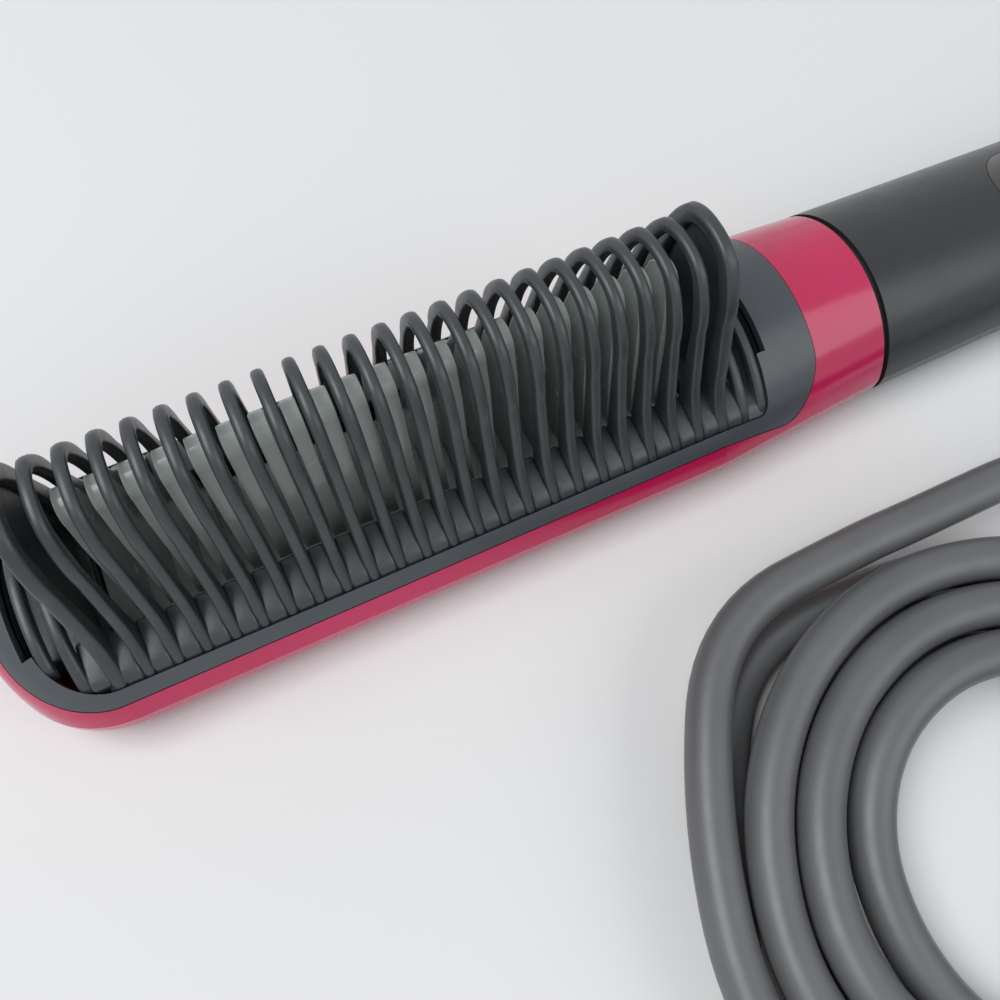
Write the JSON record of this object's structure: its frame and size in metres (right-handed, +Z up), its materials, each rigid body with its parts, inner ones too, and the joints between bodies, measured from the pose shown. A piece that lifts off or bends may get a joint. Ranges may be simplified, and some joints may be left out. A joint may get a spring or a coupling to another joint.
{
  "type": "hair straightening brush",
  "caption": "Electric hair straightening brush: a heated metal comb inside a guard comb of plastic loops, with a round-backed handle, buttons, a display and a swivelling mains cord.",
  "frame": {"origin": "on the table under the middle of the brush, the cord left out", "axes": "+X from the head's tip to the cord end, +Z up through the loops, Y across"},
  "size_m": [0.3817, 0.1547, 0.0416],
  "materials": {
    "red_shell": "high gloss red plastic",
    "red_frame": "high gloss red plastic",
    "panel": "satin-gloss dark grey plastic",
    "comb_plastic": "satin heat-resistant dark grey plastic",
    "heater_metal": "coated aluminium, smooth",
    "ceramic": "fired ceramic",
    "film": "polyimide film",
    "clamp_metal": "rolled sheet",
    "cradle_plastic": "glass-filled plastic",
    "screw_steel": "zinc plated",
    "cutout_metal": "drawn can",
    "glass_bead": "glass bead",
    "lead_insulation": "silicone sleeved",
    "ring_plastic": "matte black",
    "handle_plastic": "satin-gloss dark grey plastic",
    "control_gloss": "high gloss black",
    "lens": "smoked clear window",
    "display": "dark display module",
    "board": "glass-epoxy board",
    "capacitor": "moulded box",
    "chip": "moulded epoxy",
    "switch": "moulded switch",
    "button_plastic": "gloss light grey",
    "swivel_plastic": "satin",
    "contact_brass": "bright",
    "cord_rubber": "matte grey",
    "pin_nickel": "nickel plated"
  },
  "bodies": {
    "brush": {"rear_shell": "red_shell", "front_frame": "red_frame", "face_panel": "panel", "guard_comb": "comb_plastic", "heater_comb": "heater_metal", "ptc_heaters": "ceramic", "insulation_film": "film", "heater_clamp": "clamp_metal", "heater_cradle": "cradle_plastic", "cradle_screws": "screw_steel", "head_screws": "screw_steel", "handle_screws": "screw_steel", "board_screws": "screw_steel", "thermal_cutout": "cutout_metal", "thermistor": "glass_bead", "heater_leads": "lead_insulation", "sensor_leads": "lead_insulation", "supply_leads": "lead_insulation", "neck_ring": "ring_plastic", "handle_front_shell": "handle_plastic", "handle_rear_shell": "handle_plastic", "tail_cap": "handle_plastic", "control_panel": "control_gloss", "display_window": "lens", "display_module": "display", "control_board": "board", "film_capacitor": "capacitor", "triac": "chip", "control_chip": "chip", "tact_switches": "switch", "swivel_retainer": "cradle_plastic", "swivel_contacts": "contact_brass", "cord_lead": "cord_rubber", "cord_coil": "cord_rubber", "cord_tail": "cord_rubber", "plug_relief": "cord_rubber", "plug_body": "cord_rubber", "plug_pins": "pin_nickel"},
    "power": {"power_button": "button_plastic"},
    "minus": {"minus_button": "button_plastic"},
    "plus": {"plus_button": "button_plastic"},
    "swivel": {"cord_swivel": "swivel_plastic", "strain_relief": "cord_rubber"}
  },
  "joints": [
    {"name": "power_press", "type": "slide", "parent": "brush", "child": "power", "axis": [0, 0, -1], "range_m": [0, 0.0005], "stiffness_N_per_m": 800},
    {"name": "minus_press", "type": "slide", "parent": "brush", "child": "minus", "axis": [0, 0, -1], "range_m": [0, 0.0005], "stiffness_N_per_m": 800},
    {"name": "plus_press", "type": "slide", "parent": "brush", "child": "plus", "axis": [0, 0, -1], "range_m": [0, 0.0005], "stiffness_N_per_m": 800},
    {"name": "cord_swivel_turn", "type": "hinge", "parent": "brush", "child": "swivel", "pos_m": [0.136, 0, 0.0097], "axis": [1, 0, 0], "continuous": true}
  ]
}
